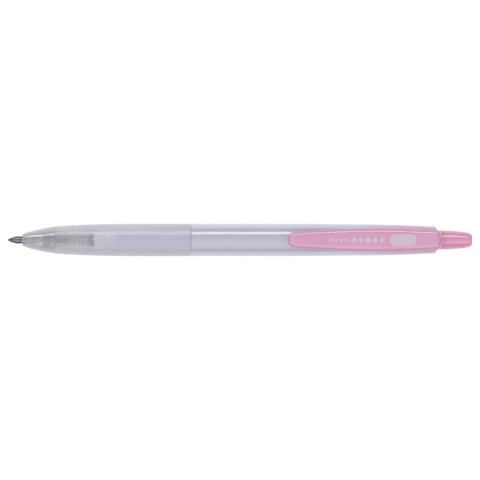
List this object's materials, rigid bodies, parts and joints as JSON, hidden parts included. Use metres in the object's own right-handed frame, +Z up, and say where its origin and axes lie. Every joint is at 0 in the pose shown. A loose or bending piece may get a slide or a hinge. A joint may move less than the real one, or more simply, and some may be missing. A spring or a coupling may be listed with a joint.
{
  "type": "retractable gel pen",
  "caption": "Slim translucent push-button gel pen with a frosted grip, pink clip and button, steel point, coil spring, ink refill and screw-joined barrels.",
  "frame": {"origin": "on the surface that the pen lies on, under the middle of its length, with the clip up", "axes": "+X along the pen from the point to the button, +Z up through the clip, +Y across the pen"},
  "size_m": [0.144, 0.01, 0.0125],
  "materials": {
    "clear_shell": "glossy translucent styrene, faintly violet",
    "frosted_grip": "frosted translucent, fine matte texture",
    "pink_plastic": "glossy translucent pink",
    "stainless_steel": "turned, fine rings",
    "carbide_ball": "polished",
    "spring_wire": "drawn wire",
    "clear_polymer": "satin translucent polypropylene",
    "violet_ink": "wet gel",
    "clear_grease": "clear gel",
    "white_plastic": "satin moulded"
  },
  "bodies": {
    "barrel": {"rear_barrel": "clear_shell", "cam_guide": "pink_plastic"},
    "button": {"knock_button": "pink_plastic", "cam_pusher": "white_plastic"},
    "refill": {"writing_ball": "carbide_ball", "tip_point": "stainless_steel", "tip_holder": "clear_polymer", "ink_tube": "clear_polymer", "ink_gel": "violet_ink", "ink_follower": "clear_grease", "refill_plug": "white_plastic"},
    "rotor": {"rotor_cam": "white_plastic"},
    "clip": {"clip": "pink_plastic"},
    "spring": {"return_spring": "spring_wire"},
    "front": {"front_barrel": "clear_shell", "grip_sleeve": "frosted_grip"}
  },
  "joints": [
    {"name": "button_press", "type": "slide", "parent": "barrel", "child": "button", "axis": [-1, 0, 0], "range_m": [-0.0052, 0.0014]},
    {"name": "refill_slide", "type": "slide", "parent": "barrel", "child": "refill", "axis": [-1, 0, 0], "range_m": [-0.0052, 0.0014], "deforming": ["return_spring"]},
    {"name": "rotor_turn", "type": "hinge", "parent": "refill", "child": "rotor", "pos_m": [0.0415, 0, 0.00502], "axis": [1, 0, 0], "continuous": true},
    {"name": "clip_flex", "type": "hinge", "parent": "barrel", "child": "clip", "pos_m": [0.0611, 0, 0.00832], "axis": [0, 1, 0], "range_deg": [0, 4], "stiffness_Nm_per_rad": 2.65},
    {"name": "barrel_advance", "type": "slide", "parent": "barrel", "child": "spring", "axis": [-1, 0, 0], "range_m": [0, 0.0075]},
    {"name": "barrel_unscrew", "type": "hinge", "parent": "spring", "child": "front", "pos_m": [-0.015, 0, 0.00502], "axis": [-1, 0, 0], "range_deg": [0, 1800]}
  ],
  "couplings": [
    {"joint": "refill_slide", "follows": "button_press", "ratio": 1},
    {"joint": "barrel_unscrew", "follows": "barrel_advance", "rad_per_m": 4188.8}
  ]
}
